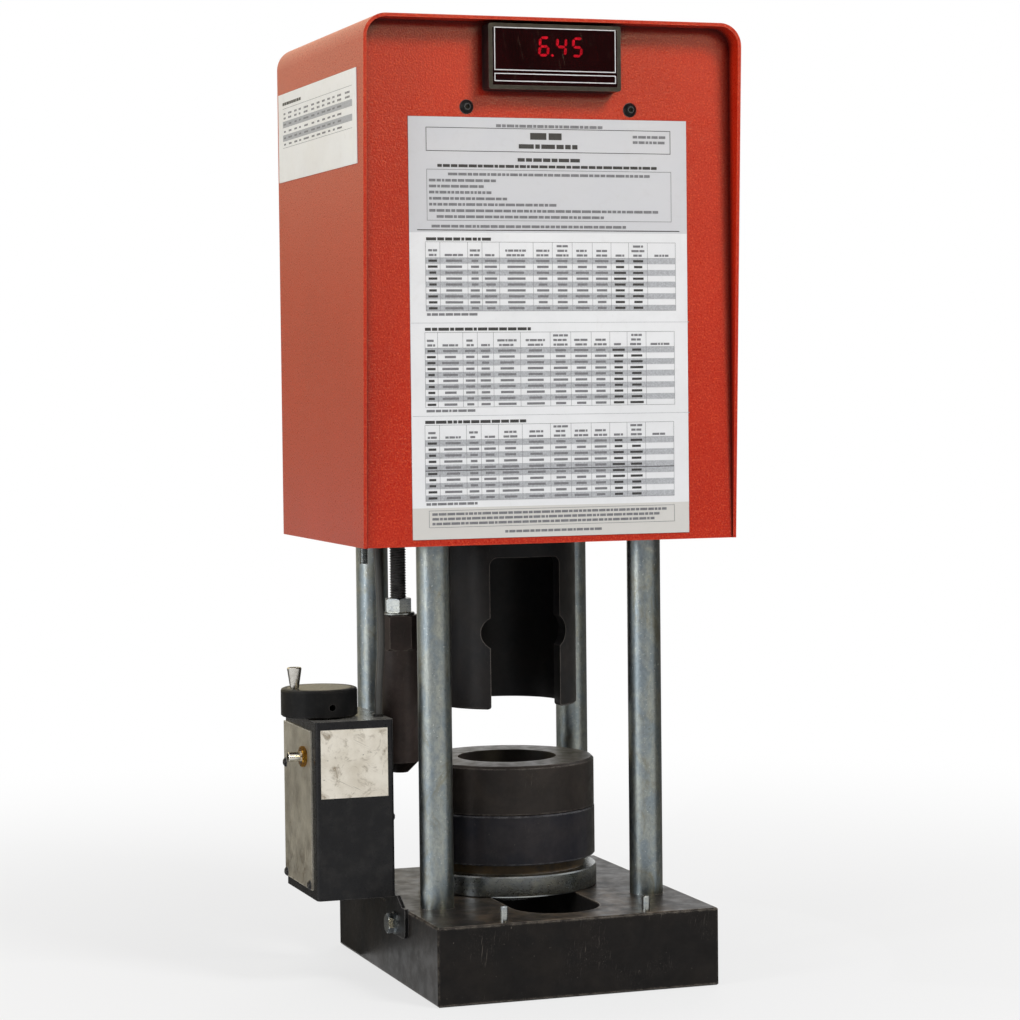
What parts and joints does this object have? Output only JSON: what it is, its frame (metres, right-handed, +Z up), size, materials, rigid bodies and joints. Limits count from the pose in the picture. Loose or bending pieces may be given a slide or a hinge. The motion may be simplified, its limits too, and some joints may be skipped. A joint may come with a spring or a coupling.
{
  "type": "hose crimping machine",
  "caption": "Upright four-column hydraulic press with a shrouded ram, sliding die cone and side setting box, for crimping hose couplings.",
  "frame": {"origin": "centre of the die bore at the underside of the base", "axes": "+Z up along the ram, -Y towards the operator, +X to the operator's right"},
  "size_m": [0.3358, 0.284, 0.7153],
  "materials": {
    "base_steel": "black oxide steel, worn and scratched",
    "zinc_column": "zinc plated bar, mottled",
    "zinc_bright": "bright zinc plate",
    "shroud_red": "fine textured red powder coat",
    "black_oxide": "black oxide, satin",
    "pusher_black": "black satin, worn",
    "cast_dark": "machined dark steel",
    "ground_steel": "ground steel",
    "chrome_rod": "hard chrome",
    "actuator_brown": "brown black oxide",
    "cone_lower_steel": "bluish black oxide",
    "cone_upper_steel": "brownish black oxide",
    "box_black": "black semi-gloss paint",
    "cover_aluminium": "aged anodised plate",
    "aged_label": "aged off-white film",
    "chart_sheet": "laminated sheet, printed",
    "side_sheet": "off-white film",
    "meter_plastic": "black moulded",
    "meter_glass": "smoked window",
    "led_red": "lit digits",
    "dial_black": "black",
    "dial_metal": "spun aluminium, dulled",
    "handle_aluminium": "turned",
    "nickel": "nickel plate",
    "brass": "brass",
    "cable_grey": "dark grey sheath",
    "rubber_black": "black rubber",
    "seal_blue": "polyurethane seal",
    "spring_steel": "oiled spring wire",
    "carriage_alloy": "anodised",
    "sensor_housing": "moulded"
  },
  "bodies": {
    "frame": {"base_plate": "base_steel", "stop_pins": "zinc_bright", "columns": "zinc_column", "column_base_screws": "black_oxide", "top_plate": "cast_dark", "column_nuts": "zinc_bright", "cylinder_barrel": "cast_dark", "cylinder_screws": "black_oxide", "cylinder_gland": "ground_steel", "rod_wiper": "rubber_black", "hydraulic_inlet": "zinc_bright", "upper_eyebolts": "zinc_bright", "shroud_wrapper": "shroud_red", "shroud_front_panel": "shroud_red", "shroud_rear_panel": "shroud_red", "panel_screws": "black_oxide", "cable_glands": "rubber_black", "meter_bezel": "meter_plastic", "meter_case": "meter_plastic", "meter_window": "meter_glass", "meter_digits": "led_red", "crimp_chart": "chart_sheet", "side_label": "side_sheet", "return_springs": "spring_steel", "box_bracket": "black_oxide", "bracket_bolt": "zinc_bright", "control_box_case": "box_black", "control_box_cover": "cover_aluminium", "box_screws": "black_oxide", "box_label": "aged_label", "cable_jack": "nickel", "jack_nut": "brass", "sensor_cable": "cable_grey", "guide_rods": "ground_steel", "screw_bushes": "brass", "position_sensor_body": "sensor_housing"},
    "ram": {"piston": "ground_steel", "piston_seal": "seal_blue", "piston_rod": "chrome_rod", "ram_plate": "cast_dark", "pusher_screws": "black_oxide", "pusher_sleeve": "pusher_black", "actuator_rod": "black_oxide", "actuator_lock_nuts": "zinc_bright", "actuator_flange_nut": "zinc_bright", "actuator_body": "actuator_brown", "lower_eyebolts": "zinc_bright", "eyebolt_nuts": "zinc_bright"},
    "die_set": {"die_support_ring": "zinc_bright", "die_cone_lower": "cone_lower_steel", "die_cone_upper": "cone_upper_steel", "die_stack_screws": "black_oxide"},
    "dial": {"dial_knob": "dial_black", "dial_plate": "dial_metal", "lead_screw": "ground_steel", "crank_screw": "black_oxide"},
    "crank": {"crank_handle": "handle_aluminium"},
    "carriage": {"switch_carriage": "carriage_alloy", "proximity_switch": "nickel", "position_sensor_rod": "ground_steel"}
  },
  "joints": [
    {"name": "ram_slide", "type": "slide", "parent": "frame", "child": "ram", "axis": [0, 0, -1], "range_m": [0, 0.0415], "stiffness_N_per_m": 4500, "springref_m": -0.06, "deforming": ["return_springs"]},
    {"name": "die_slide", "type": "slide", "parent": "frame", "child": "die_set", "axis": [0, -1, 0], "range_m": [0, 0.1057]},
    {"name": "dial_turn", "type": "hinge", "parent": "frame", "child": "dial", "pos_m": [-0.16, -0.033, 0.201], "axis": [0, 0, 1], "range_deg": [-2163, 2163]},
    {"name": "carriage_slide", "type": "slide", "parent": "frame", "child": "carriage", "axis": [0, 0, 1], "range_m": [-0.018, 0.018]},
    {"name": "crank_spin", "type": "hinge", "parent": "dial", "child": "crank", "pos_m": [-0.17975, -0.03613, 0.23], "axis": [0, 0, 1], "continuous": true}
  ],
  "couplings": [
    {"joint": "dial_turn", "follows": "carriage_slide", "rad_per_m": -2094.4}
  ]
}
